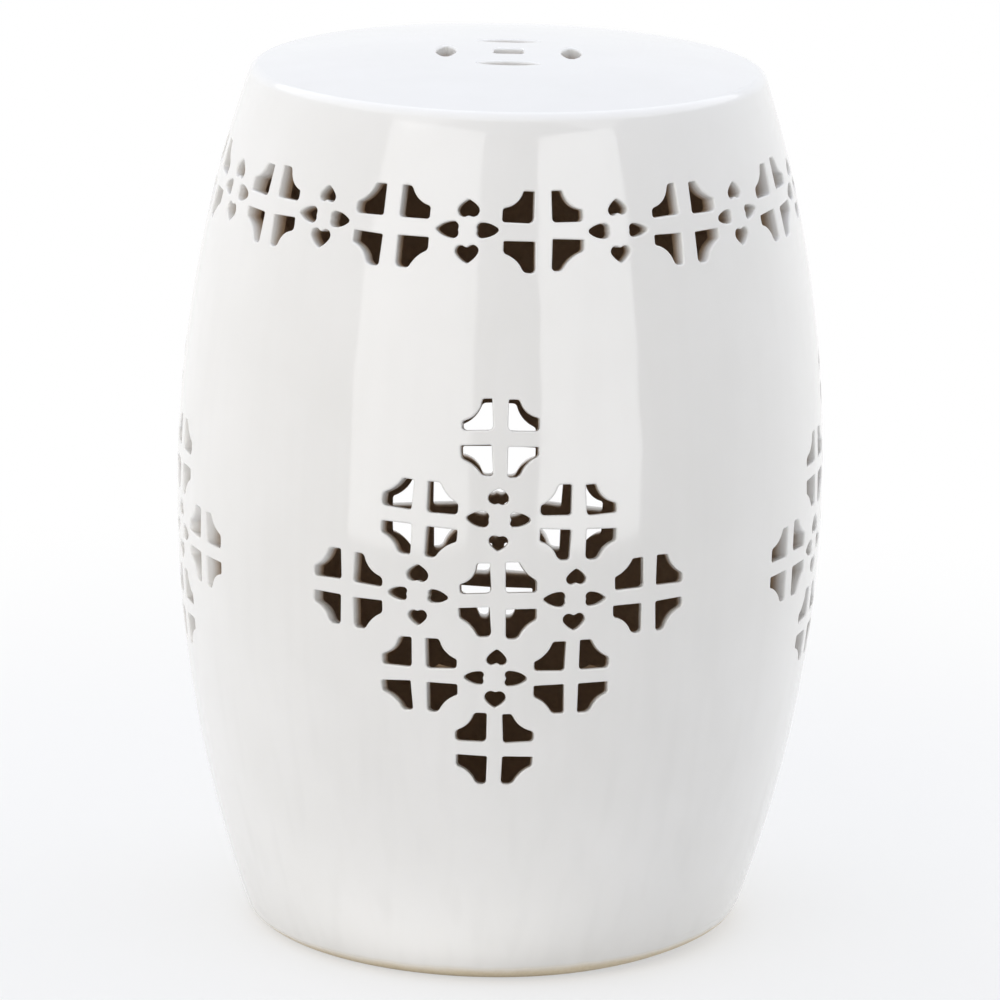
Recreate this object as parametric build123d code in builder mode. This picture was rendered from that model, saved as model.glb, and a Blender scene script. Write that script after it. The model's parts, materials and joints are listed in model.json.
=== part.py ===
from build123d import *

import os
from math import cos, degrees, radians, sin, sqrt

# Barrel-shaped garden stool in glazed stoneware, built from a seat slab, a pierced drum wall and a foot
# ring, with a clay coil in each inside corner. Millimetres and degrees. The origin is on the floor under
# the middle of the seat, +Z is up, and the front medallion faces -Y.

# Barrel outline, measured outside
stool_height = 465.5  # at the middle of the seat
seat_crown = 8.5  # rise of the seat's middle over its edge
belly_diameter = 340.0
belly_height = 236.0
seat_diameter = 267.0  # where the barrel curve meets the crowned seat, before the edge is rounded
foot_diameter = 256.0  # where the barrel curve meets the floor, before the edge is rounded
seat_edge_radius = 5.5
foot_edge_radius = 12.0

# Clay thicknesses
wall_thickness = 9.0
seat_thickness = 11.0
foot_thickness = 15.0
foot_opening_diameter = 190.0
foot_opening_edge_radius = 3.0

# Coils of clay smoothed into the inside corners, each with a film of slip between it and the wall
coil_size = 9.0
coil_hollow = 1.8
slip_film = 0.3

# Cross motif: a square with a shallow bite out of each corner, parted in four by two bars
cross_leg = 6.0  # width of an opening at each of its two ends
cross_bite_radius = 15.0
gallery_cross_span = 41.0
gallery_bar = 8.8
medallion_cross_span = 39.6
medallion_bar = 7.8

# Heart motif: four hearts about a centre, points outwards
heart_reach = 16.0  # from the motif's centre to a heart's point
heart_point_radius = 1.2
upright_heart_length = 8.8
upright_heart_width = 11.0
upright_lobe_radius = 3.0
side_heart_length = 10.8
side_heart_width = 7.9
side_lobe_radius = 2.2

# Gallery: a band of crosses and hearts, turn about, below the seat
gallery_pairs = 12
gallery_drop = 56.5  # from the seat's edge down to the band's centre line

# Medallions: a diamond of crosses, with hearts in its gaps
medallion_count = 4
medallion_side = 3  # crosses along one side of the diamond
medallion_height = 215.0
medallion_column = 40.0  # along the belly's circumference
medallion_row = 41.0
medallion_tip_lift = 1.7  # of the top and bottom crosses, which sit a little above their rows
back_medallion_lift = 5.6

# Coin motif through the seat: four lens slots round a square
coin_radius = 32.5
coin_lens_length = 34.0
coin_lens_width = 10.0
coin_square = 15.0
coin_square_corner = 2.5

# Values that follow from these
front = -90.0
belly_radius = belly_diameter / 2
seat_edge_height = stool_height - seat_crown
rim_height = seat_edge_height - seat_thickness
gallery_height = seat_edge_height - gallery_drop
gallery_step = 360 / gallery_pairs
gallery_start = front + gallery_step / 4  # the front medallion is midway between a cross and hearts
medallion_step = 360 / medallion_count
medallion_column_angle = degrees(medallion_column / belly_radius)

with BuildLine(Plane.XZ) as barrel_curve:
    ThreePointArc(
        (foot_diameter / 2, 0),
        (belly_radius, belly_height),
        (seat_diameter / 2, seat_edge_height),
    )
curve_radius = barrel_curve.edge().radius
curve_centre = barrel_curve.edge().arc_center


def wall_radius(height, depth=0.0):
    """Distance from the stool's axis to the wall at a height, at a depth below its outer face."""
    return curve_centre.X + sqrt((curve_radius - depth) ** 2 - (height - curve_centre.Z) ** 2)


def wall_arc(low, high, depth=0.0):
    """Stretch of the barrel curve between two heights, at a depth below the outer face."""
    middle = (low + high) / 2
    return ThreePointArc(
        (wall_radius(low, depth), low),
        (wall_radius(middle, depth), middle),
        (wall_radius(high, depth), high),
    )


def wall_plane(angle, height):
    """Plane that touches the wall's outer face, with its normal outwards and its X level."""
    lean = (height - curve_centre.Z) / curve_radius
    across = Vector(cos(radians(angle)), sin(radians(angle)), 0)
    return Plane(
        origin=across * wall_radius(height) + Vector(0, 0, height),
        x_dir=(-across.Y, across.X, 0),
        z_dir=across * sqrt(1 - lean**2) + Vector(0, 0, lean),
    )


# Outlines of the openings


def cross_openings(span, bar):
    """The four openings of a cross motif with this span and bars of this width."""
    half_span = span / 2
    bite_end = bar / 2 + cross_leg
    half_chord = (half_span - bite_end) / sqrt(2)
    bite_centre = (half_span + bite_end) / 2 + sqrt((cross_bite_radius**2 - half_chord**2) / 2)
    with BuildSketch() as opening:
        with Locations((bar / 2, bar / 2)):
            Rectangle(half_span - bar / 2, half_span - bar / 2, align=(Align.MIN, Align.MIN))
        with Locations((bite_centre, bite_centre)):
            Circle(cross_bite_radius, mode=Mode.SUBTRACT)
    with BuildSketch() as cross:
        with PolarLocations(0, 4):
            add(opening.sketch)
    return cross.sketch


def heart_opening(length, width, lobe_radius):
    """One heart that points along +X, made of two halves that lean on its point."""
    lobe_reach = heart_reach - length + lobe_radius
    with BuildSketch() as half_heart:
        with Locations((lobe_reach, width / 2 - lobe_radius)):
            Circle(lobe_radius)
        with Locations((heart_reach - heart_point_radius, 0)):
            Circle(heart_point_radius)
        make_hull()
    with BuildSketch() as heart:
        add(half_heart.sketch)
        mirror(half_heart.sketch, about=Plane.XZ)
    return heart.sketch


def heart_openings():
    """The four hearts of a heart motif: two slim ones at its sides, two broad ones above and below."""
    with BuildSketch() as hearts:
        with PolarLocations(0, 2):
            add(heart_opening(side_heart_length, side_heart_width, side_lobe_radius))
        with PolarLocations(0, 2, start_angle=90):
            add(heart_opening(upright_heart_length, upright_heart_width, upright_lobe_radius))
    return hearts.sketch


def coin_openings():
    """The four lens slots of the coin motif and the square between them."""
    arc_radius = (coin_lens_length**2 + coin_lens_width**2) / (4 * coin_lens_width)
    arc_offset = arc_radius - coin_lens_width / 2
    with BuildSketch() as lens:
        with Locations((arc_offset, 0)):
            Circle(arc_radius)
        with Locations((-arc_offset, 0)):
            Circle(arc_radius, mode=Mode.INTERSECT)
    with BuildSketch() as coin:
        with PolarLocations(coin_radius, 4):
            add(lens.sketch)
        RectangleRounded(coin_square, coin_square, coin_square_corner)
    return coin.sketch


# Places of the motifs on the wall


def gallery_planes(start):
    """Every second place of the gallery, from a start angle."""
    return [wall_plane(start + gallery_step * pair, gallery_height) for pair in range(gallery_pairs)]


def medallion_planes(side):
    """Places of a diamond lattice with this many along a side, in every medallion."""
    planes = []
    for medallion in range(medallion_count):
        angle = front + medallion_step * medallion
        middle = medallion_height + (back_medallion_lift if 2 * medallion == medallion_count else 0)
        for i in range(side):
            for j in range(side):
                row = i + j + 1 - side
                lift = medallion_tip_lift if abs(row) == medallion_side - 1 else 0
                height = middle + medallion_row * row + lift
                planes.append(wall_plane(angle + medallion_column_angle * (i - j), height))
    return planes


gallery_crosses = gallery_planes(gallery_start)
gallery_hearts = gallery_planes(gallery_start + gallery_step / 2)
medallion_crosses = medallion_planes(medallion_side)
medallion_hearts = medallion_planes(medallion_side - 1)

# Drum wall, with every opening cut square to it, from one wall thickness outside to one inside

with BuildPart() as drum_wall:
    with BuildSketch(Plane.XZ):
        with BuildLine():
            wall_arc(foot_thickness, rim_height)
            wall_arc(foot_thickness, rim_height, wall_thickness)
            for height in (foot_thickness, rim_height):
                Line((wall_radius(height), height), (wall_radius(height, wall_thickness), height))
        make_face()
    revolve(axis=Axis.Z)
    for planes, openings in (
        (gallery_crosses, cross_openings(gallery_cross_span, gallery_bar)),
        (medallion_crosses, cross_openings(medallion_cross_span, medallion_bar)),
        (gallery_hearts + medallion_hearts, heart_openings()),
    ):
        with BuildSketch(*[plane.offset(wall_thickness) for plane in planes]):
            add(openings)
    extrude(amount=-3 * wall_thickness, mode=Mode.SUBTRACT)
drum_wall.part.label = "drum_wall"

# Seat slab, crowned above and below, butted on the wall's rim, with a flat ring over the wall and its coil

coil_depth = wall_thickness + slip_film
seat_ring_radius = wall_radius(rim_height, coil_depth) - coil_size

with BuildPart() as seat_plate:
    with BuildSketch(Plane.XZ) as seat_section:
        with BuildLine():
            wall_arc(rim_height, seat_edge_height)
            TangentArc((0, stool_height), (wall_radius(seat_edge_height), seat_edge_height), tangent=(1, 0))
            Line((0, stool_height), (0, stool_height - seat_thickness))
            TangentArc((0, stool_height - seat_thickness), (seat_ring_radius, rim_height), tangent=(1, 0))
            Line((seat_ring_radius, rim_height), (wall_radius(rim_height), rim_height))
        make_face()
        seat_edge = seat_section.vertices().sort_by_distance((seat_diameter / 2, seat_edge_height))[0]
        fillet(seat_edge, seat_edge_radius)
    revolve(axis=Axis.Z)
    with BuildSketch(Plane.XY.offset(stool_height)):
        add(coin_openings())
    extrude(amount=rim_height - stool_height, mode=Mode.SUBTRACT)
seat_plate.part.label = "seat_plate"

# Foot ring under the wall

with BuildPart() as foot_ring:
    with BuildSketch(Plane.XZ):
        with BuildLine():
            wall_arc(0, foot_thickness)
            Polyline(
                (wall_radius(foot_thickness), foot_thickness),
                (foot_opening_diameter / 2, foot_thickness),
                (foot_opening_diameter / 2, 0),
                (wall_radius(0), 0),
            )
        make_face()
    revolve(axis=Axis.Z)
    rings = foot_ring.edges().filter_by(GeomType.CIRCLE)
    fillet(rings.group_by(Axis.Z)[0].sort_by(SortBy.RADIUS)[-1], foot_edge_radius)
    rings = foot_ring.edges().filter_by(GeomType.CIRCLE)
    fillet(rings.group_by(SortBy.RADIUS)[0], foot_opening_edge_radius)
foot_ring.part.label = "foot_ring"

# Clay coils, the seat's hanging down the wall and the foot's rising up it


def coil_outline(corner_height, rise):
    """Section of a coil in the corner between the wall and a slab, hollowed on its open side."""
    far_height = corner_height + rise
    slab_end = (wall_radius(corner_height, coil_depth) - coil_size, corner_height)
    wall_end = (wall_radius(far_height, coil_depth), far_height)
    with BuildSketch(Plane.XZ) as outline:
        with BuildLine():
            wall_arc(corner_height, far_height, coil_depth)
            Line((wall_radius(corner_height, coil_depth), corner_height), slab_end)
            SagittaArc(slab_end, wall_end, -coil_hollow if rise > 0 else coil_hollow)
        make_face()
    return outline.sketch


with BuildPart() as seat_coil:
    add(coil_outline(rim_height, -coil_size))
    revolve(axis=Axis.Z)
seat_coil.part.label = "seat_coil"

with BuildPart() as foot_coil:
    add(coil_outline(foot_thickness, coil_size))
    revolve(axis=Axis.Z)
foot_coil.part.label = "foot_coil"

os.makedirs("parts", exist_ok=True)
export_step(seat_plate.part, "parts/seat_plate.step")
export_step(drum_wall.part, "parts/drum_wall.step")
export_step(foot_ring.part, "parts/foot_ring.step")
export_step(seat_coil.part, "parts/seat_coil.step")
export_step(foot_coil.part, "parts/foot_coil.step")
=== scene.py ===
import json
import math
import random

import bmesh
import bpy
import numpy as np
from mathutils import Euler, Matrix, Vector, geometry, kdtree

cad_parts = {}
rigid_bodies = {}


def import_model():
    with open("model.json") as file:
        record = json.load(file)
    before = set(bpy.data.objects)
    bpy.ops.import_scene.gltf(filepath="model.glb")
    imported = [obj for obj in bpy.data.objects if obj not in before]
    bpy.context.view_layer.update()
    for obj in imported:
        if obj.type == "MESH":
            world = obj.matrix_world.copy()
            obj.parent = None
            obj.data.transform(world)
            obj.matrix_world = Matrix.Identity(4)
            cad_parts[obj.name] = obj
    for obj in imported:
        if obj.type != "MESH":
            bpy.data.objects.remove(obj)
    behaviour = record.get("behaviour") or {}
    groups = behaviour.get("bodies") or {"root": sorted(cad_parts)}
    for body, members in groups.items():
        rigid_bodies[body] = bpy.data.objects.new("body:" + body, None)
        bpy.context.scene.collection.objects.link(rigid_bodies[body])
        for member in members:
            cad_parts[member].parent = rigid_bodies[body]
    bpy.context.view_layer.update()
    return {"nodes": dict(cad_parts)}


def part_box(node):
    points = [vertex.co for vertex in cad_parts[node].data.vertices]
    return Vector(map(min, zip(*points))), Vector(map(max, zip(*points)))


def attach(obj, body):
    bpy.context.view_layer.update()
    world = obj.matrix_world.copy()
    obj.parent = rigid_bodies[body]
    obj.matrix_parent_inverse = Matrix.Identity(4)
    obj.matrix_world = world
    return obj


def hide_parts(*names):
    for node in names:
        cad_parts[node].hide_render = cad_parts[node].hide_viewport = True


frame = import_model()
bpy.ops.object.select_all(action="DESELECT")
mm = 0.001
tiny = 1e-5  # metres, less than any gap between points
smoothAngle = 40  # degrees, past which an edge stays crisp
print("frame loaded")

# The outside of the barrel is one round curve through the rim, the belly and the foot of the CAD boxes.
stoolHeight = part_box("seat_plate")[1].z
rimHeight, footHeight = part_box("drum_wall")[1].z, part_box("drum_wall")[0].z
bellyRadius, rimRadius, footRadius = (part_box(node)[1].x for node in ("drum_wall", "seat_plate", "foot_ring"))
rimInset, footInset = bellyRadius - rimRadius, bellyRadius - footRadius
bellyTerms = (
    rimInset - footInset,
    2 * (footInset * rimHeight - rimInset * footHeight),
    rimInset * footHeight**2 - footInset * rimHeight**2 + footInset * rimInset * (footInset - rimInset),
)
bellyHeight = next(root for root in np.roots(bellyTerms).real if footHeight < root < rimHeight)
curveRadius = ((rimHeight - bellyHeight) ** 2 + rimInset**2) / (2 * rimInset)
frontTurn = math.radians(-90)  # the front faces -Y


def barrelRadius(height, depth=0.0):
    return bellyRadius - curveRadius + np.sqrt((curveRadius - depth) ** 2 - (height - bellyHeight) ** 2)


def pickOnly(piece):
    bpy.ops.object.select_all(action="DESELECT")
    piece.select_set(True)
    bpy.context.view_layer.objects.active = piece


# Materials


def linear(hexColour):
    values = [int(hexColour[i : i + 2], 16) / 255 for i in (1, 3, 5)]
    return [v / 12.92 if v <= 0.04045 else ((v + 0.055) / 1.055) ** 2.4 for v in values] + [1.0]


def addNode(material, kind, inputs, **settings):
    node = material.node_tree.nodes.new(kind)
    for name, value in settings.items():
        setattr(node, name, value)
    for socket, value in inputs.items():
        if isinstance(value, bpy.types.NodeSocket):
            material.node_tree.links.new(value, node.inputs[socket])
        else:
            node.inputs[socket].default_value = value
    return node


def newMaterial(name):
    material = bpy.data.materials.new(name)
    material.use_nodes = True
    material.node_tree.nodes.clear()
    return material


glaze = {
    "pale": "#F1F0EE",
    "deep": "#E9E8E5",
    "run": "#E1E0DD",
    "speck": "#8A7A66",
    "roughness": 0.07,
    "ior": 1.53,
    "mottleSize": 60 * mm,
    "runWidth": 12 * mm,
    "runLength": 450 * mm,
    "runsFrom": 0.48,  # of the noise that they are drawn from
    "runsFull": 0.85,
    "runStrength": 0.4,
    "runsAtRim": 0.15,  # share of their strength there, all of it at the foot
    "speckSpacing": 26 * mm,
    "specksFrom": 0.55,  # cells below this have none
    "speckReach": 0.022,  # largest radius, as a share of the spacing
    "waveLength": 45 * mm,
    "waveHeight": 0.45,  # mm
    "endBays": 22 * mm,  # length of the bays in the line where it ends
}
clay = {"roughness": 0.8, "roughnessSpread": 0.1, "gritSize": 2.5 * mm, "gritHeight": 0.3}  # height in mm
insideClayPaintedShade = {"dark": "#9C8268", "light": "#B59A7C"}  # inside the drum: the foot's clay painted darker and browner, as painted shade
footClayPaintedLighter = {"dark": "#DACAAD", "light": "#EADFC8"}  # wiped clean at the foot; painted lighter than the clay itself, as painted light from the floor


def glazedStoneware(name, glazeEnd, under):
    # White stoneware glaze fired to a gloss over clay: a slightly wavy skin, faint runs down the wall and a
    # few iron specks. The brush stopped unevenly inside the cuts and above the foot, where clay shows. That
    # clay
    # is painted: dark brown deeper in the cuts as painted shade, and a lighter buff at the foot as painted
    # light.
    material = newMaterial(name)
    place = addNode(material, "ShaderNodeTexCoord", {}).outputs["Object"]
    height = addNode(material, "ShaderNodeSeparateXYZ", {"Vector": place}).outputs["Z"]

    mottle = addNode(
        material, "ShaderNodeTexNoise", {"Vector": place, "Scale": 1 / glaze["mottleSize"], "Detail": 2.0}
    )
    skin = addNode(
        material,
        "ShaderNodeMix",
        {"Factor": mottle.outputs["Fac"], "A": linear(glaze["pale"]), "B": linear(glaze["deep"])},
        data_type="RGBA",
    )
    stretched = addNode(
        material,
        "ShaderNodeMapping",
        {"Vector": place, "Scale": [1 / glaze["runWidth"], 1 / glaze["runWidth"], 1 / glaze["runLength"]]},
    )
    runs = addNode(
        material, "ShaderNodeTexNoise", {"Vector": stretched.outputs["Vector"], "Scale": 1.0, "Detail": 1.5}
    )
    runMask = addNode(
        material,
        "ShaderNodeMapRange",
        {
            "Value": runs.outputs["Fac"],
            "From Min": glaze["runsFrom"],
            "From Max": glaze["runsFull"],
            "To Max": glaze["runStrength"],
        },
    )
    lowDown = addNode(
        material,
        "ShaderNodeMapRange",
        {"Value": height, "From Min": rimHeight, "From Max": footHeight, "To Min": glaze["runsAtRim"]},
    )
    runAmount = addNode(
        material,
        "ShaderNodeMath",
        {0: runMask.outputs["Result"], 1: lowDown.outputs["Result"]},
        operation="MULTIPLY",
    )
    run = addNode(
        material,
        "ShaderNodeMix",
        {"Factor": runAmount.outputs["Value"], "A": skin.outputs["Result"], "B": linear(glaze["run"])},
        data_type="RGBA",
    )
    cells = addNode(
        material, "ShaderNodeTexVoronoi", {"Vector": place, "Scale": 1 / glaze["speckSpacing"]}
    )
    speckSize = addNode(
        material,
        "ShaderNodeMapRange",
        {"Value": cells.outputs["Color"], "From Min": glaze["specksFrom"], "To Max": glaze["speckReach"]},
    )
    speckMask = addNode(
        material,
        "ShaderNodeMath",
        {0: cells.outputs["Distance"], 1: speckSize.outputs["Result"]},
        operation="LESS_THAN",
    )
    speckled = addNode(
        material,
        "ShaderNodeMix",
        {"Factor": speckMask.outputs["Value"], "A": run.outputs["Result"], "B": linear(glaze["speck"])},
        data_type="RGBA",
    )

    grit = addNode(
        material, "ShaderNodeTexNoise", {"Vector": place, "Scale": 1 / clay["gritSize"], "Detail": 4.0}
    )
    earth = addNode(
        material,
        "ShaderNodeMix",
        {"Factor": grit.outputs["Fac"], "A": linear(under["dark"]), "B": linear(under["light"])},
        data_type="RGBA",
    )
    bareClayWithPaintedLight = addNode(material, "ShaderNodeAttribute", {}, attribute_name="bareClayWithPaintedLight")
    ragged = addNode(
        material, "ShaderNodeTexNoise", {"Vector": place, "Scale": 1 / glaze["endBays"], "Detail": 3.0}
    )
    edge = addNode(
        material,
        "ShaderNodeMath",
        {0: ragged.outputs["Fac"], 1: glazeEnd["wander"], 2: bareClayWithPaintedLight.outputs["Fac"]},
        operation="MULTIPLY_ADD",
    )
    clayMask = addNode(
        material,
        "ShaderNodeMapRange",
        {
            "Value": edge.outputs["Value"],
            "From Min": glazeEnd["at"] + glazeEnd["wander"] / 2 - glazeEnd["blur"],
            "From Max": glazeEnd["at"] + glazeEnd["wander"] / 2 + glazeEnd["blur"],
        },
        interpolation_type="SMOOTHSTEP",
    )
    mask = clayMask.outputs["Result"]
    colour = addNode(
        material,
        "ShaderNodeMix",
        {"Factor": mask, "A": speckled.outputs["Result"], "B": earth.outputs["Result"]},
        data_type="RGBA",
    )
    roughness = addNode(
        material,
        "ShaderNodeMapRange",
        {"Value": mask, "To Min": glaze["roughness"], "To Max": clay["roughness"]},
    )

    waves = addNode(
        material, "ShaderNodeTexNoise", {"Vector": place, "Scale": 1 / glaze["waveLength"], "Detail": 1.0}
    )
    skinHeight = addNode(
        material,
        "ShaderNodeMath",
        {0: waves.outputs["Fac"], 1: glaze["waveHeight"]},
        operation="MULTIPLY",
    )
    gritHeight = addNode(
        material, "ShaderNodeMath", {0: grit.outputs["Fac"], 1: mask}, operation="MULTIPLY"
    )
    surface = addNode(
        material,
        "ShaderNodeMath",
        {0: gritHeight.outputs["Value"], 1: clay["gritHeight"], 2: skinHeight.outputs["Value"]},
        operation="MULTIPLY_ADD",
    )
    bump = addNode(
        material, "ShaderNodeBump", {"Height": surface.outputs["Value"], "Distance": mm, "Strength": 1.0}
    )
    shader = addNode(
        material,
        "ShaderNodeBsdfPrincipled",
        {
            "Base Color": colour.outputs["Result"],
            "Roughness": roughness.outputs["Result"],
            "IOR": glaze["ior"],
            "Normal": bump.outputs["Normal"],
        },
    )
    addNode(material, "ShaderNodeOutputMaterial", {"Surface": shader.outputs["BSDF"]})
    return material


def bareStoneware(name):
    # Brown clay smoothed with a wet finger and left unglazed: matt and finely gritty; its dark brown is
    # painted shade.
    material = newMaterial(name)
    place = addNode(material, "ShaderNodeTexCoord", {}).outputs["Object"]
    grit = addNode(
        material, "ShaderNodeTexNoise", {"Vector": place, "Scale": 1 / clay["gritSize"], "Detail": 4.0}
    )
    earth = addNode(
        material,
        "ShaderNodeMix",
        {"Factor": grit.outputs["Fac"], "A": linear(insideClayPaintedShade["dark"]), "B": linear(insideClayPaintedShade["light"])},
        data_type="RGBA",
    )
    roughness = addNode(
        material,
        "ShaderNodeMapRange",
        {
            "Value": grit.outputs["Fac"],
            "To Min": clay["roughness"] - clay["roughnessSpread"],
            "To Max": clay["roughness"] + clay["roughnessSpread"],
        },
    )
    bump = addNode(
        material,
        "ShaderNodeBump",
        {"Height": grit.outputs["Fac"], "Distance": clay["gritHeight"] * mm, "Strength": 1.0},
    )
    shader = addNode(
        material,
        "ShaderNodeBsdfPrincipled",
        {
            "Base Color": earth.outputs["Result"],
            "Roughness": roughness.outputs["Result"],
            "Normal": bump.outputs["Normal"],
        },
    )
    addNode(material, "ShaderNodeOutputMaterial", {"Surface": shader.outputs["BSDF"]})
    return material


cutGlaze = glazedStoneware("whiteGlazeThinInTheCutsOverPaintedShade", {"at": 0.62, "wander": 0.3, "blur": 0.35}, insideClayPaintedShade)
footGlaze = glazedStoneware("whiteGlazeWipedAtTheFoot", {"at": 0.5, "wander": 0.4, "blur": 0.4}, footClayPaintedLighter)
coilClay = bareStoneware("bareStonewareInPaintedShade")
print("materials ready")

# Outlines of the openings, as rounds of arcs: centre x and y, radius, start and end angle, points.
# A round that runs backwards is a hollow one, so its radius shrinks as the opening grows.


def outline(rounds, grow=0.0):
    points = []
    for x, y, radius, start, end, count in rounds:
        reach = radius + grow if end > start else radius - grow
        angles = np.radians(np.linspace(start, end, count))
        points.append(np.column_stack((x + reach * np.cos(angles), y + reach * np.sin(angles))))
    points = np.concatenate(points)
    apart = np.linalg.norm(points - np.roll(points, 1, axis=0), axis=1) > 1e-3  # arcs that meet share a point
    return points[apart]


motifs = {  # millimetres
    "galleryCross": {"span": 41.0, "bar": 8.8},
    "medallionCross": {"span": 39.6, "bar": 7.8},
    "backCross": {"span": 42.5, "bar": 6.6},
    "backTopCross": {"span": 34.0, "bar": 6.6},
    "crossLeg": 6.0,  # width of an opening at each of its two ends
    "crossBite": 15.0,
    "crossCorner": 0.8,
    "crossTip": 2.0,
    "crossPool": 2.0,  # glaze that gathers in the low corners
    "heartReach": 16.0,
    "sideHeart": {"length": 11.2, "width": 8.5, "lobe": 2.4},
    "uprightHeart": {"length": 8.9, "width": 11.6, "lobe": 3.1},
    "heartFlank": 13.0,
    "heartPoint": 0.9,
    "heartCleft": 1.4,
    "lensLength": 34.0,
    "lensWidth": 10.0,
    "lensTip": 1.2,
    "coinSquare": 15.0,
    "squareCorner": 2.5,
    "handCut": 0.85,  # how far the knife strays, as a share of the strays below
    "legStray": 1.4,
    "biteStray": 5.0,
    "lobeStray": 0.4,
    "lobesClose": 0.5,
    "pointStray": 1.0,
    "heartStray": (-0.12, 0.1),  # share of a heart's size
    "roundStray": (0.6, 1.4),  # share of a corner or tip of a cross
    "poolStray": (0.3, 1.0),  # share of the glaze that gathers
    "cornerMost": 0.38,  # share of a leg
    "tipMost": 0.62,
}


def crossRounds(cross, quarter, dice):
    # One of the four openings: a square with its outer corner bitten off, never twice quite the same.
    half, bar, hand = cross["span"] / 2, cross["bar"] / 2, motifs["handCut"]
    leg, biteStray, share = motifs["legStray"], motifs["biteStray"], motifs["roundStray"]
    sideLeg, topLeg = (motifs["crossLeg"] + dice.uniform(-leg, leg) * hand for _ in "xy")
    bite = motifs["crossBite"] + dice.uniform(-biteStray, biteStray) * hand
    corner, sideCorner, topCorner = (motifs["crossCorner"] * dice.uniform(*share) for _ in "xyz")
    sideTip, topTip = (motifs["crossTip"] * dice.uniform(*share) for _ in "xy")
    pool, endPool = (motifs["crossPool"] * dice.uniform(*motifs["poolStray"]) for _ in "xy")
    corner += pool if quarter < 2 else 0
    sideCorner += endPool if quarter in (0, 3) else 0
    topCorner += endPool if quarter in (1, 2) else 0
    sideTip += pool if quarter == 3 else 0
    topTip += pool if quarter == 2 else 0
    sideCorner = min(sideCorner, motifs["cornerMost"] * sideLeg)
    topCorner = min(topCorner, motifs["cornerMost"] * topLeg)
    sideTip, topTip = min(sideTip, motifs["tipMost"] * sideLeg), min(topTip, motifs["tipMost"] * topLeg)
    sideEnd, topEnd = half - sideTip, half - topTip

    # The bite's circle runs through the ends of both legs, and a tip lies between it and each side.
    along = Vector((bar + topLeg - half, half - bar - sideLeg))
    reach = math.sqrt(bite**2 - along.length_squared / 4)
    chord = Vector((half + bar + topLeg, half + bar + sideLeg)) / 2
    biteX, biteY = chord + along.normalized().orthogonal() * -reach
    tipY = biteY - math.sqrt((bite + sideTip) ** 2 - (biteX - sideEnd) ** 2)
    tipX = biteX - math.sqrt((bite + topTip) ** 2 - (biteY - topEnd) ** 2)
    low = math.degrees(math.atan2(biteY - tipY, biteX - sideEnd))
    high = math.degrees(math.atan2(biteY - topEnd, biteX - tipX))
    return [
        (bar + corner, bar + corner, corner, 180, 270, 5),
        (half - sideCorner, bar + sideCorner, sideCorner, -90, 0, 5),
        (sideEnd, tipY, sideTip, 0, low, 5),
        (biteX, biteY, bite, 180 + low, 180 + high, 8),
        (tipX, topEnd, topTip, high, 90, 5),
        (bar + topCorner, half - topCorner, topCorner, 90, 180, 5),
    ]


def heartRounds(heart, dice):
    # Two lobes with a cleft between them, and two full flanks that meet in a blunt point.
    flank, point, cleft = (motifs["heart" + name] for name in ("Flank", "Point", "Cleft"))
    hand, lobeStray = motifs["handCut"], motifs["lobeStray"]
    size = 1 + dice.uniform(*motifs["heartStray"]) * hand
    lobe = heart["lobe"] * size + dice.uniform(-lobeStray, lobeStray) * hand
    point += dice.uniform(0, motifs["pointStray"]) * hand
    lobeX = motifs["heartReach"] - heart["length"] * size + lobe
    lobeY = heart["width"] * size / 2 - lobe - dice.uniform(0, motifs["lobesClose"]) * hand
    pointX = motifs["heartReach"] - point
    apart = math.hypot(pointX - lobeX, lobeY)
    along = ((flank - lobe) ** 2 - (flank - point) ** 2 + apart**2) / (2 * apart)
    across = math.sqrt((flank - lobe) ** 2 - along**2)
    flankX = lobeX + (along * (pointX - lobeX) - across * lobeY) / apart
    flankY = lobeY - (along * lobeY + across * (pointX - lobeX)) / apart
    low = math.degrees(math.atan2(-flankY, pointX - flankX))
    high = math.degrees(math.atan2(lobeY - flankY, lobeX - flankX))
    cleftX = lobeX - math.sqrt((lobe + cleft) ** 2 - lobeY**2)
    into = math.degrees(math.atan2(-lobeY, cleftX - lobeX)) % 360
    return [
        (pointX, 0, point, -low, low, 5),
        (flankX, flankY, flank, low, high, 5),
        (lobeX, lobeY, lobe, high, into, 9),
        (cleftX, 0, cleft, into - 180, 180 - into, 3),
        (lobeX, -lobeY, lobe, -into, -high, 9),
        (flankX, -flankY, flank, -high, -low, 5),
    ]


def lensRounds():
    tip, length, width = motifs["lensTip"], motifs["lensLength"], motifs["lensWidth"]
    radius = (length**2 + width**2) / (4 * width)
    offset = radius - width / 2
    tipY = math.sqrt((radius - tip) ** 2 - offset**2)
    turn = math.degrees(math.atan2(tipY, offset))
    return [
        (-offset, 0, radius, -turn, turn, 15),
        (0, tipY, tip, turn, 180 - turn, 6),
        (offset, 0, radius, 180 - turn, 180 + turn, 15),
        (0, -tipY, tip, 180 + turn, 360 - turn, 6),
    ]


def squareRounds():
    corner = motifs["squareCorner"]
    inset = motifs["coinSquare"] / 2 - corner
    return [
        (inset * x, inset * y, corner, start, start + 90, 6)
        for x, y, start in ((1, 1, 0), (-1, 1, 90), (-1, -1, 180), (1, -1, 270))
    ]


def turned(points, angle):
    c, s = math.cos(angle), math.sin(angle)
    return points @ np.array([[c, s], [-s, c]])


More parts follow.
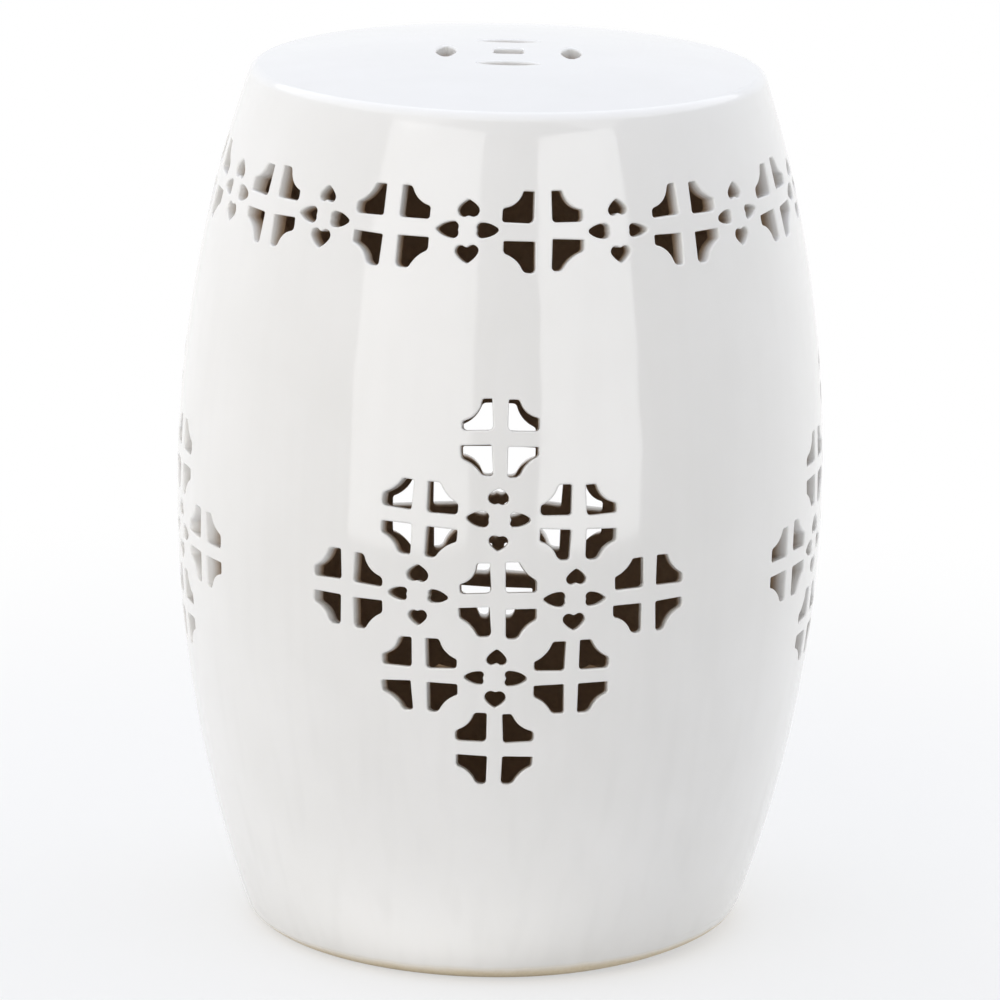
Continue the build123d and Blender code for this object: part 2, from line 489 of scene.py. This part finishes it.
# Drum wall: the pierced sheet is drawn flat, in millimetres round the belly and up the wall, then wrapped
# round the barrel. Cutters and a bevel would leave broken edges at so many cuts, so each cut's lip is
# built ring by ring, which gives the round shoulder that glaze flows over.
drumWall = {  # millimetres
    "thickness": 9.0,
    "lip": 1.0,
    "innerLip": 0.6,
    "columns": 180,
    "rowHeight": 6.0,
    "clearOfCuts": 3.2,
    "galleryPairs": 12,
    "galleryDrop": 45.5,  # below the rim
    "medallions": 4,
    "medallionSide": 3,
    "medallionHeight": 215.0,
    "medallionColumn": 40.0,
    "medallionRow": 41.0,
    "tipLift": 1.7,  # of the top and bottom crosses
    "leftShift": -4.0,  # of the medallion on the left, set out by eye
    "backLift": 5.0,
    "backRow": 39.8,
    "backColumn": 41.0,
    "backShift": 1.0,
    "backTopDrop": 2.5,
    "knifeDip": 12.0,  # degrees
    "backDip": 5.0,
    "knifeSlant": 9.0,  # degrees more for each column right of a medallion's middle
    "motifTurn": 1.0,  # degrees
    "motifShift": 0.4,
    "handTurn": 2.0,  # degrees
    "handShift": 0.25,
    "mostShift": 0.5,
    "handWave": 0.12,
    "glazeThinsIntoShade": (0.8, 1.4),  # how soon, with depth, the glaze gives out in a cut to clay painted dark as shade
    "seed": 7,
}
roundBelly = 2 * math.pi * bellyRadius / mm
galleryStep = roundBelly / drumWall["galleryPairs"]
seamLine = galleryStep * 1.25 - roundBelly / 2  # down the bar of a gallery cross at the back


def lattice(side):
    # Columns and rows of a diamond with this many motifs along a side.
    for i in range(side):
        for j in range(side):
            yield i - j, i + j + 1 - side


def motifPlaces():
    # The sizes of the cross, or none for hearts, the knife's dip and slant, and the place on the sheet.
    dip, galleryHeight = drumWall["knifeDip"], rimHeight / mm - drumWall["galleryDrop"]
    for pair in range(drumWall["galleryPairs"]):
        yield motifs["galleryCross"], dip, 0, galleryStep * (pair + 0.25), galleryHeight
        yield None, dip, 0, galleryStep * (pair + 0.75), galleryHeight

    top = drumWall["medallionSide"] - 1
    columnWidth, height = drumWall["medallionColumn"], drumWall["medallionHeight"]
    for medallion in range(drumWall["medallions"]):
        middle = roundBelly / drumWall["medallions"] * medallion
        if medallion == drumWall["medallions"] - 1:
            middle += drumWall["leftShift"]
        if 2 * medallion == drumWall["medallions"]:  # the back, cut by eye: closer rows and a small top cross
            middle += drumWall["backShift"]
            for column, row in lattice(top + 1):
                cross = motifs["backTopCross" if row == top else "backCross"]
                drop = drumWall["backTopDrop"] if row == top else 0
                y = height + drumWall["backLift"] + drumWall["backRow"] * row - drop
                yield cross, drumWall["backDip"], 0, middle + drumWall["backColumn"] * column, y
            for column, row in lattice(top):
                y = height + drumWall["backLift"] + drumWall["backRow"] * row
                yield None, drumWall["backDip"], 0, middle + drumWall["backColumn"] * column, y
        else:
            for column, row in lattice(top + 1):
                y = height + drumWall["medallionRow"] * row + (drumWall["tipLift"] if abs(row) == top else 0)
                slant = drumWall["knifeSlant"] * max(0, column)
                yield motifs["medallionCross"], dip, slant, middle + columnWidth * column, y
            for column, row in lattice(top):
                y = height + drumWall["medallionRow"] * row
                slant = drumWall["knifeSlant"] * max(0, column)
                yield None, dip, slant, middle + columnWidth * column, y


def stray(dice):
    # Mostly near none, and never far out.
    return max(-2, min(2, dice.gauss(0, 1)))


def wallCuts():
    # Each cut is a list of rings, from its lip on the outer face to its edge on the inner one. The knife
    # always dips a little, whichever way the wall leans.
    dice = random.Random(drumWall["seed"])
    lip, inner, thickness = drumWall["lip"], drumWall["innerLip"], drumWall["thickness"]
    steps = [(lip * (1 - math.sin(a)), lip * (1 - math.cos(a))) for a in np.radians((0, 30, 60, 90))]
    steps += [(0, thickness / 3), (0, thickness - inner), (inner, thickness)]
    for cross, knifeDip, knifeSlant, x, y in motifPlaces():
        lean = math.asin((y * mm - bellyHeight) / curveRadius)
        dip, slant = math.tan(math.radians(knifeDip) - lean), math.tan(math.radians(knifeSlant))
        stretch = np.array((bellyRadius / barrelRadius(y * mm), math.cos(lean)))
        x, y = (v + stray(dice) * drumWall["motifShift"] for v in (x, y))
        turn = math.radians(stray(dice) * drumWall["motifTurn"])
        for quarter in range(4):
            heart = motifs["uprightHeart" if quarter % 2 else "sideHeart"]
            rounds = crossRounds(cross, quarter, dice) if cross else heartRounds(heart, dice)
            middle = outline(rounds).mean(axis=0)
            slip = np.array([dice.gauss(0, drumWall["handShift"]) for _ in "xy"])
            slip = slip.clip(-drumWall["mostShift"], drumWall["mostShift"])
            twist = math.radians(stray(dice) * drumWall["handTurn"])
            wave, phase = dice.uniform(0, drumWall["handWave"]), dice.uniform(0, 6.28)
            thinIntoShade = dice.uniform(*drumWall["glazeThinsIntoShade"])
            rings = []
            for grow, depth in steps:
                points = outline(rounds, grow) - middle
                bearing = np.arctan2(points[:, 1], points[:, 0])
                points = points * (1 - wave / 8 * (1 + np.cos(3 * bearing + phase)))[:, None]
                points = turned(turned(points, twist) + middle, turn + quarter * math.pi / 2) + slip
                points = points * stretch + (x + depth * slant, y - depth * dip)
                # Deeper in the cut more clay shows, and that clay is painted dark: painted shade in the
                # recess.
                rings.append((points, depth, min(1, thinIntoShade * depth / thickness)))
            laps = math.floor((rings[0][0][:, 0].mean() - seamLine) / roundBelly)
            yield [(points - (laps * roundBelly, 0), depth, bare) for points, depth, bare in rings]


def wrapped(plan, depth):
    # From the flat sheet to the barrel, square to the wall at each depth.
    turn = frontTurn + plan[:, 0] * mm / bellyRadius
    rise = (plan[:, 1] * mm - bellyHeight) / curveRadius
    out = np.sqrt(1 - rise**2)
    radius = bellyRadius - curveRadius + (curveRadius - depth * mm) * out
    normal = np.column_stack((out * np.cos(turn), out * np.sin(turn), rise))
    height = bellyHeight + (curveRadius - depth * mm) * rise
    return np.column_stack((radius * np.cos(turn), radius * np.sin(turn), height)), normal


def makeDrumWall():
    cuts = list(wallCuts())
    lips = np.concatenate([rings[0][0] for rings in cuts])
    near = kdtree.KDTree(len(lips))
    for i, point in enumerate(lips):
        near.insert((*point, 0), i)
    near.balance()

    rows = round((rimHeight - footHeight) / mm / drumWall["rowHeight"])
    columns = drumWall["columns"]
    across = seamLine + roundBelly * np.arange(columns + 1) / columns
    upward = np.linspace(footHeight, rimHeight, rows + 1) / mm
    edge = [(x, y) for x in across for y in upward if y in upward[[0, -1]] or x in across[[0, -1]]]
    inside = [(x, y) for x in across[1:-1] for y in upward[1:-1]]
    field = edge + [p for p in inside if near.find((*p, 0))[2] > drumWall["clearOfCuts"]]
    plan = np.concatenate((field, lips))
    starts = len(field) + np.cumsum([0] + [len(rings[0][0]) for rings in cuts])
    holes = [list(range(a, b)) for a, b in zip(starts, starts[1:])]
    sheet = geometry.delaunay_2d_cdt(list(map(Vector, plan)), [], holes, 0, 1e-4)
    points, triangles, origins, filled = (sheet[i] for i in (0, 2, 3, 5))
    if len(points) != len(plan):
        raise ValueError("two cuts in the drum wall touch")
    triangles = [[origins[i][0] for i in face] for face, hole in zip(triangles, filled) if not hole]

    # The last column of the sheet is its first one again.
    first = {y: i for i, (x, y) in enumerate(field) if x == across[0]}
    twin = {i: first[y] for i, (x, y) in enumerate(field) if x == across[-1]}
    count, thickness = len(plan), drumWall["thickness"]
    innerPlan = plan.copy()
    onEnds = np.isin(plan[:, 1], upward[[0, -1]])
    innerPlan[onEnds, 1] = bellyHeight / mm + (plan[onEnds, 1] - bellyHeight / mm) * curveRadius / (
        curveRadius - thickness * mm
    )
    sheets = [(plan, np.zeros(count), np.zeros(count))]
    # The whole inner face shows the bare clay, painted dark as the shade inside the drum.
    sheets.append((innerPlan, np.full(count, thickness), np.ones(count)))
    faces = triangles + [[i + count for i in reversed(face)] for face in triangles]
    total = 2 * count
    for rings, hole in zip(cuts, holes):
        innerPlan[hole] = rings[-1][0]
        chain = [hole]
        for points, depth, bare in rings[1:-1]:
            sheets.append((points, np.full(len(points), depth), np.full(len(points), bare)))
            chain.append(list(range(total, total + len(points))))
            total += len(points)
        chain.append([i + count for i in hole])
        for a, b in zip(chain, chain[1:]):
            faces += [[a[j - 1], a[j], b[j], b[j - 1]] for j in range(len(a))]
    for y, order in ((upward[0], -1), (upward[-1], 1)):
        end = [i for i, point in enumerate(field) if point[1] == y]
        faces += [[a, b, b + count, a + count][::order] for a, b in zip(end, end[1:])]

    merged = {**twin, **{i + count: j + count for i, j in twin.items()}}
    faces = [[merged.get(i, i) for i in face] for face in faces]
    used = np.unique(np.concatenate([np.array(face) for face in faces]))
    renumber = {old: new for new, old in enumerate(used)}
    plan, depth, bare = (np.concatenate(parts) for parts in zip(*sheets))
    placed, normals = wrapped(plan, depth)

    mesh = bpy.data.meshes.new("drumWall")
    mesh.from_pydata(placed[used].tolist(), [], [[renumber[i] for i in face] for face in faces])
    drum = bpy.data.objects.new("drumWall", mesh)
    bpy.context.collection.objects.link(drum)
    mesh.attributes.new("bareClayWithPaintedLight", "FLOAT", "POINT").data.foreach_set("value", bare[used])
    smoothPiece(drum)
    setNormals(mesh, normals[used], depth[used] == 0)
    return drum


def setNormals(mesh, normals, onFace):
    # A glazed face takes the normals of its true curve, so that reflections run clean past the cuts.
    corners = np.empty(len(mesh.loops) * 3, np.float32)
    mesh.corner_normals.foreach_get("vector", corners)
    corners = corners.reshape(-1, 3)
    owners = np.empty(len(mesh.loops), np.int32)
    mesh.loops.foreach_get("vertex_index", owners)
    smooth = onFace[owners] & ((corners * normals[owners]).sum(axis=1) > 0.8)
    corners[smooth] = normals[owners][smooth]
    mesh.normals_split_custom_set(corners.tolist())


def smoothPiece(piece):
    pickOnly(piece)
    bpy.ops.object.shade_smooth_by_angle(angle=math.radians(smoothAngle))


def finishPiece(piece, material, node):
    piece.data.materials.clear()
    piece.data.materials.append(material)
    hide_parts(node)
    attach(piece, "root")
    print(piece.name, "made,", len(piece.data.polygons), "faces")


finishPiece(makeDrumWall(), cutGlaze, "drum_wall")

# Seat: a disc with a rolled edge and the coin motif cut through it, then crowned above and below.
seat = {
    "points": 180,
    "crown": 8.5 * mm,
    "ringWidth": 18.8 * mm,  # left flat underneath, over the wall and its coil
    "edgeRadius": 5.5 * mm,
    "edgeSteps": 7,
    "coinRadius": 32.5,
    "lip": 1.4 * mm,
    "lipSteps": 3,
    "glazeThinsIntoShade": 1.6,  # how soon the glaze gives out in the coin's cuts, to clay painted dark as shade
    "bareReach": 0.9,  # share of the radius that is bare underneath
    "gridSpacing": 8 * mm,  # of the faces that bend into the crown
}


def selectByTest(piece, test, kind="edges"):
    shape = bmesh.from_edit_mesh(piece.data)
    bpy.ops.mesh.select_all(action="DESELECT")
    for element in getattr(shape, kind):
        if test(element):
            element.select_set(True)
    bmesh.update_edit_mesh(piece.data)


def makeCoinCutter():
    outlines = [turned(outline(lensRounds()) + (seat["coinRadius"], 0), q * math.pi / 2) for q in range(4)]
    outlines.append(outline(squareRounds()))
    top = 2 * stoolHeight - rimHeight
    points = [(x * mm, y * mm, top) for x, y in np.concatenate(outlines)]
    ends = np.cumsum([0] + [len(o) for o in outlines])
    mesh = bpy.data.meshes.new("coinCutter")
    mesh.from_pydata(points, [], [list(range(a, b)) for a, b in zip(ends, ends[1:])])
    cutter = bpy.data.objects.new("coinCutter", mesh)
    bpy.context.collection.objects.link(cutter)
    pickOnly(cutter)
    bpy.ops.object.mode_set(mode="EDIT")
    bpy.ops.mesh.select_all(action="SELECT")
    bpy.ops.mesh.extrude_region_move(TRANSFORM_OT_translate={"value": (0, 0, 3 * (rimHeight - stoolHeight))})
    bpy.ops.mesh.select_all(action="SELECT")
    bpy.ops.mesh.normals_make_consistent(inside=False)
    bpy.ops.object.mode_set(mode="OBJECT")
    return cutter


def makeSeat():
    edgeHeight = stoolHeight - seat["crown"]
    edgeRadius = barrelRadius(edgeHeight)
    thickness = edgeHeight - rimHeight
    cutter = makeCoinCutter()
    bpy.ops.object.select_all(action="DESELECT")
    bpy.ops.mesh.primitive_cylinder_add(
        vertices=seat["points"], radius=rimRadius, depth=thickness, location=(0, 0, rimHeight + thickness / 2)
    )
    plate = bpy.context.active_object
    plate.name = plate.data.name = "seatPlate"
    bpy.ops.object.transform_apply(location=True)

    # The top draws in along the barrel curve, its edge is rolled, and a ring is marked off underneath.
    onTop = lambda edge: all(v.co.z > edgeHeight - tiny for v in edge.verts)
    bpy.ops.object.mode_set(mode="EDIT")
    bpy.ops.mesh.select_mode(type="EDGE")
    selectByTest(plate, onTop)
    draw = edgeRadius / rimRadius
    bpy.ops.transform.resize(value=(draw, draw, 1), center_override=(0, 0, edgeHeight))
    selectByTest(plate, onTop)
    turn = math.pi / 2 - math.atan2(rimRadius - edgeRadius, thickness)
    bpy.ops.mesh.bevel(
        offset=seat["edgeRadius"] * math.tan(turn / 2), segments=seat["edgeSteps"], affect="EDGES"
    )
    bpy.ops.mesh.select_mode(type="FACE")
    selectByTest(plate, lambda face: face.normal.z < -0.9, "faces")
    bpy.ops.mesh.inset(thickness=seat["ringWidth"])
    bpy.ops.object.mode_set(mode="OBJECT")

    cut = plate.modifiers.new("coin", "BOOLEAN")
    cut.object, cut.solver = cutter, "EXACT"
    pickOnly(plate)
    bpy.ops.object.modifier_apply(modifier="coin")
    bpy.data.objects.remove(cutter)
    bpy.ops.object.mode_set(mode="EDIT")
    bpy.ops.mesh.select_mode(type="EDGE")
    coinReach = (seat["coinRadius"] + motifs["lensWidth"]) * mm
    selectByTest(
        plate,
        lambda edge: onTop(edge) and edge.verts[0].co.xy.length < coinReach and edge.calc_face_angle() > 1,
    )
    bpy.ops.mesh.bevel(offset=seat["lip"], segments=seat["lipSteps"], affect="EDGES")

    # Both flat faces are divided into squares and bent into the crown.
    ringRadius = rimRadius - seat["ringWidth"]
    bpy.ops.mesh.select_mode(type="FACE")
    lines = np.arange(-edgeRadius, edgeRadius, seat["gridSpacing"]) + seat["gridSpacing"] / 3
    for offset in lines:
        for across in ((1, 0, 0), (0, 1, 0)):
            selectByTest(plate, lambda face: abs(face.normal.z) > 0.999, "faces")
            bpy.ops.mesh.bisect(plane_co=Vector(across) * offset, plane_no=across, threshold=0.05 * mm)
    bpy.ops.object.mode_set(mode="OBJECT")
    places = np.array([v.co for v in plate.data.vertices])
    reach = np.hypot(places[:, 0], places[:, 1])
    depth = np.clip((edgeHeight - places[:, 2]) / thickness, 0, 1)
    bend = np.where(depth < 0.5, edgeRadius, ringRadius)
    crowned = places.copy()
    crowned[:, 2] += seat["crown"] * np.clip(1 - (reach / bend) ** 2, 0, 1)
    plate.data.vertices.foreach_set("co", crowned.ravel())

    # The coin's cuts turn to clay with depth and the underside is clay; that clay is painted dark as shade.
    unglazed = reach < seat["bareReach"] * rimRadius
    bare = np.where(unglazed, np.minimum(seat["glazeThinsIntoShade"] * depth, 1), 0.0)
    plate.data.attributes.new("bareClayWithPaintedLight", "FLOAT", "POINT").data.foreach_set("value", bare)
    smoothPiece(plate)
    slope = 2 * seat["crown"] / edgeRadius**2
    normals = np.column_stack((slope * places[:, 0], slope * places[:, 1], np.ones(len(places))))
    setNormals(plate.data, normals / np.linalg.norm(normals, axis=1)[:, None], depth < 1e-4)
    return plate


finishPiece(makeSeat(), cutGlaze, "seat_plate")

# Foot ring: a section with rounded corners, spun round.
foot = {
    "steps": 180,
    "openingRadius": 95 * mm,
    "edgeRadius": 12 * mm,
    "edgeSteps": 8,
    "openingEdge": 3 * mm,
    "glazeLow": 3.0 * mm,  # height of the glaze's end, wiped higher on one side
    "glazeHigh": 7.5 * mm,
    "highSide": 50,  # degrees to the right of the front
    "wear": 3.6 * mm,  # rubbed off the outer edge
    "wornSide": 65,  # degrees to the right of the front
    "wornSpread": 37,
}


def makeFoot():
    bpy.ops.object.select_all(action="DESELECT")
    bpy.ops.mesh.primitive_plane_add(size=2, location=(0, 0, 0))
    ring = bpy.context.active_object
    ring.name = ring.data.name = "footRing"
    floorRadius = barrelRadius(0.0)
    bpy.ops.object.mode_set(mode="EDIT")
    bpy.ops.mesh.select_mode(type="VERT")
    shape = bmesh.from_edit_mesh(ring.data)
    for corner in shape.verts:  # the plane's four corners become the section's
        inward, low = corner.co.x < 0, corner.co.y < 0
        outside = floorRadius if low else footRadius
        corner.co = (foot["openingRadius"] if inward else outside, 0, 0 if low else footHeight)
    bmesh.update_edit_mesh(ring.data)
    lean = math.atan2(footRadius - floorRadius, footHeight)
    for radius, turn, isCorner in (
        (foot["edgeRadius"], math.pi / 2 - lean, lambda p: p.x > foot["openingRadius"] + mm and p.z < mm),
        (foot["openingEdge"], math.pi / 2, lambda p: p.x < foot["openingRadius"] + tiny),
    ):
        shape = bmesh.from_edit_mesh(ring.data)
        bpy.ops.mesh.select_all(action="DESELECT")
        for corner in shape.verts:
            corner.select_set(isCorner(corner.co))
        bpy.ops.mesh.bevel(
            offset=radius * math.tan(turn / 2), segments=foot["edgeSteps"], affect="VERTICES"
        )
    bpy.ops.mesh.select_all(action="SELECT")
    bpy.ops.mesh.delete(type="ONLY_FACE")
    bpy.ops.mesh.select_all(action="SELECT")
    bpy.ops.mesh.spin(steps=foot["steps"], angle=2 * math.pi, center=(0, 0, 0), axis=(0, 0, 1))
    bpy.ops.mesh.select_all(action="SELECT")
    bpy.ops.mesh.remove_doubles(threshold=tiny)
    bpy.ops.mesh.normals_make_consistent(inside=False)
    bpy.ops.object.mode_set(mode="OBJECT")

    # The glaze ends in a line that rises and falls round the foot, and one side of the edge is worn.
    places = np.array([v.co for v in ring.data.vertices])
    reach = np.hypot(places[:, 0], places[:, 1])
    bearing = np.degrees(np.arctan2(places[:, 1], places[:, 0]) - frontTurn)
    middle, sway = (foot["glazeHigh"] + foot["glazeLow"]) / 2, (foot["glazeHigh"] - foot["glazeLow"]) / 2
    lineHeight = middle + sway * np.cos(np.radians(bearing - foot["highSide"]))
    flatStart, flatEnd = foot["openingRadius"] + foot["openingEdge"], floorRadius - foot["edgeRadius"]
    # Below the glaze line the buff clay shows, painted lighter as light thrown up from the floor.
    bare = np.where(reach > flatEnd, 0.5 + (lineHeight - places[:, 2]) / foot["glazeHigh"], 2.0)
    ring.data.attributes.new("bareClayWithPaintedLight", "FLOAT", "POINT").data.foreach_set("value", bare)
    offWorn = (bearing - foot["wornSide"] + 180) % 360 - 180
    wear = foot["wear"] * np.exp(-((offWorn / foot["wornSpread"]) ** 2))
    outward = np.clip((reach - flatStart) / (flatEnd - flatStart), 0, 1)
    places[:, 2] += wear * outward * (1 - places[:, 2] / footHeight)
    ring.data.vertices.foreach_set("co", places.ravel())
    smoothPiece(ring)
    return ring


finishPiece(makeFoot(), footGlaze, "foot_ring")

# The coils inside the drum are bare clay, painted dark as the shade there.
for node in ("seat_coil", "foot_coil"):
    for materialSlot in frame["nodes"][node].material_slots:
        materialSlot.material = coilClay

# Floor, light and camera
studio = {
    "floorSize": 12.0,
    "floorColour": "#E8E8E8",
    "floorGlow": 0.55,  # share of plain white beside the stool, rising to all white further off
    "glowStart": 0.25,
    "glowEnd": 0.9,
    "roomLight": 0.61,
}
softBoxes = {  # bearing from the front, to the right, and width, in degrees; edges over the floor
    "leftBox": {"bearing": -29.2, "width": 39.0, "low": 0.2, "high": 1.6, "away": 1.2, "glow": 1.1},
    "leftFill": {"bearing": -118, "width": 60, "low": 0.0, "high": 1.2, "away": 1.6, "glow": 1.4},
    "rightFill": {"bearing": 120, "width": 62, "low": 0.0, "high": 1.2, "away": 1.6, "glow": 1.5},
}
sheenStrips = {  # seen in the glaze of one piece, with no light of their own on it
    "leftStrip": {"bearing": -30.1, "width": 40.8, "low": 0.0, "high": 0.93, "away": 1.1, "glow": 1.7},
    "rightStrip": {"bearing": 29.9, "width": 34.2, "low": 0.0, "high": 0.95, "away": 1.2, "glow": 2.2},
    "leftCap": {"bearing": -30.1, "width": 40.8, "low": 0.87, "high": 0.97, "away": 1.1, "glow": 1.7},
    "rightCap": {"bearing": 29.9, "width": 34.2, "low": 0.9, "high": 0.97, "away": 1.2, "glow": 2.2},
}
topBox = {"size": 1.6, "height": 2.2, "glow": 1.8}
ceilingSheen = {"size": 6.0, "height": 2.3, "glow": 1.0}  # seen in rolled edges and lips alone
floorCard = {  # light thrown up by the paper in front of the foot
    "width": 0.32,
    "depth": 0.05,
    "bearing": -15,
    "away": 0.168,
    "height": 2 * mm,
    "glow": 0.45,
}
lampTints = {"leftBox": "#FFF8EE", "topBox": "#D5E2FF"}
camera = {
    "distance": 3.5,
    "elevation": 13.92,
    "roll": 1.2,
    "lens": 238.7,
    "pivotHeight": 228.5 * mm,
    "target": (0.4 * mm, 0, 225 * mm),
}


def seenDirectly(material):
    # One where the camera sees this, straight or in the glaze, and none for the light that it gives.
    seen = addNode(material, "ShaderNodeLightPath", {})
    straight = addNode(
        material,
        "ShaderNodeMath",
        {0: seen.outputs["Is Camera Ray"], 1: seen.outputs["Is Glossy Ray"]},
        operation="MAXIMUM",
    )
    either = addNode(
        material,
        "ShaderNodeMath",
        {0: straight.outputs["Value"], 1: seen.outputs["Is Transmission Ray"]},
        operation="MAXIMUM",
    )
    return either.outputs["Value"]


def makeFloor():
    bpy.ops.object.select_all(action="DESELECT")
    bpy.ops.mesh.primitive_plane_add(size=studio["floorSize"])
    floor = bpy.context.active_object
    floor.name = "studioFloor"
    material = newMaterial("paperSweep")
    place = addNode(material, "ShaderNodeTexCoord", {}).outputs["Object"]
    away = addNode(material, "ShaderNodeVectorMath", {0: place}, operation="LENGTH")
    glow = addNode(
        material,
        "ShaderNodeMapRange",
        {
            "Value": away.outputs["Value"],
            "From Min": studio["glowStart"],
            "From Max": studio["glowEnd"],
            "To Min": studio["floorGlow"],
        },
        interpolation_type="SMOOTHSTEP",
    )
    share = addNode(
        material,
        "ShaderNodeMath",
        {0: seenDirectly(material), 1: glow.outputs["Result"]},
        operation="MULTIPLY",
    )
    paper = addNode(material, "ShaderNodeBsdfDiffuse", {"Color": linear(studio["floorColour"])})
    white = addNode(material, "ShaderNodeEmission", {"Color": (1, 1, 1, 1), "Strength": 1.0})
    mixed = addNode(
        material,
        "ShaderNodeMixShader",
        {0: share.outputs["Value"], 1: paper.outputs["BSDF"], 2: white.outputs["Emission"]},
    )
    addNode(material, "ShaderNodeOutputMaterial", {"Surface": mixed.outputs["Shader"]})
    floor.data.materials.append(material)


def makeRoom():
    world = bpy.data.worlds.new("room")
    bpy.context.scene.world = world
    world.use_nodes = True
    world.node_tree.nodes.clear()
    strength = addNode(
        world,
        "ShaderNodeMapRange",
        {"Value": seenDirectly(world), "To Min": studio["roomLight"], "To Max": 1.0},
    )
    sky = addNode(
        world, "ShaderNodeBackground", {"Color": (1, 1, 1, 1), "Strength": strength.outputs["Result"]}
    )
    addNode(world, "ShaderNodeOutputWorld", {"Surface": sky.outputs["Background"]})


def addLamp(name, width, height, box, place, aim):
    lamp = bpy.data.lights.new(name, "AREA")
    lamp.shape = "RECTANGLE"
    lamp.size, lamp.size_y = width, height
    lamp.energy = box["glow"] * math.pi * width * height
    lamp.color = linear(lampTints.get(name, "#FFFFFF"))[:3]
    fitting = bpy.data.objects.new(name, lamp)
    fitting.location = place
    fitting.rotation_euler = (Vector(aim) - Vector(place)).to_track_quat("-Z", "Y").to_euler()
    fitting.visible_camera = False
    bpy.context.collection.objects.link(fitting)
    return fitting


def makeLamps():
    for name, box in (*softBoxes.items(), *sheenStrips.items()):
        bearing = math.radians(box["bearing"])
        width = 2 * box["away"] * math.tan(math.radians(box["width"] / 2))
        middle = (box["low"] + box["high"]) / 2
        place = (box["away"] * math.sin(bearing), -box["away"] * math.cos(bearing), middle)
        lamp = addLamp(name, width, box["high"] - box["low"], box, place, (0, 0, middle))
        lamp.visible_diffuse = name in softBoxes
        lamp.visible_glossy = name in sheenStrips
        if name in sheenStrips:  # caps carry the sheen up the seat's side, and its top stays clear
            shownOn = bpy.data.collections.new(name)
            shownOn.objects.link(bpy.data.objects["seatPlate" if "Cap" in name else "drumWall"])
            lamp.light_linking.receiver_collection = shownOn
    for name, box in (("topBox", topBox), ("ceilingSheen", ceilingSheen)):
        lamp = addLamp(name, box["size"], box["size"], box, (0, 0, box["height"]), (0, 0, 0))
        lamp.visible_diffuse = box is topBox
        lamp.visible_glossy = box is ceilingSheen
    bearing = math.radians(floorCard["bearing"])
    away, height = floorCard["away"], floorCard["height"]
    place = (away * math.sin(bearing), -away * math.cos(bearing), height)
    card = addLamp("floorCard", floorCard["width"], floorCard["depth"], floorCard, place, (0, 0, 0))
    card.rotation_euler = (math.pi, 0, bearing)
    card.visible_glossy = False


def makeCamera():
    eye = bpy.data.objects.new("camera", bpy.data.cameras.new("camera"))
    bpy.context.collection.objects.link(eye)
    rise = math.radians(camera["elevation"])
    away = camera["distance"] * Vector((0, -math.cos(rise), math.sin(rise)))
    eye.location = Vector((0, 0, camera["pivotHeight"])) + away
    aim = (Vector(camera["target"]) - eye.location).to_track_quat("-Z", "Y")
    roll = Euler((0, 0, math.radians(camera["roll"]))).to_quaternion()
    eye.rotation_euler = (aim @ roll).to_euler()
    eye.data.lens, eye.data.sensor_width = camera["lens"], 36
    bpy.context.scene.camera = eye


makeFloor()
makeRoom()
makeLamps()
makeCamera()
bpy.context.scene.view_settings.view_transform = "Standard"
print("floor, light and camera ready")
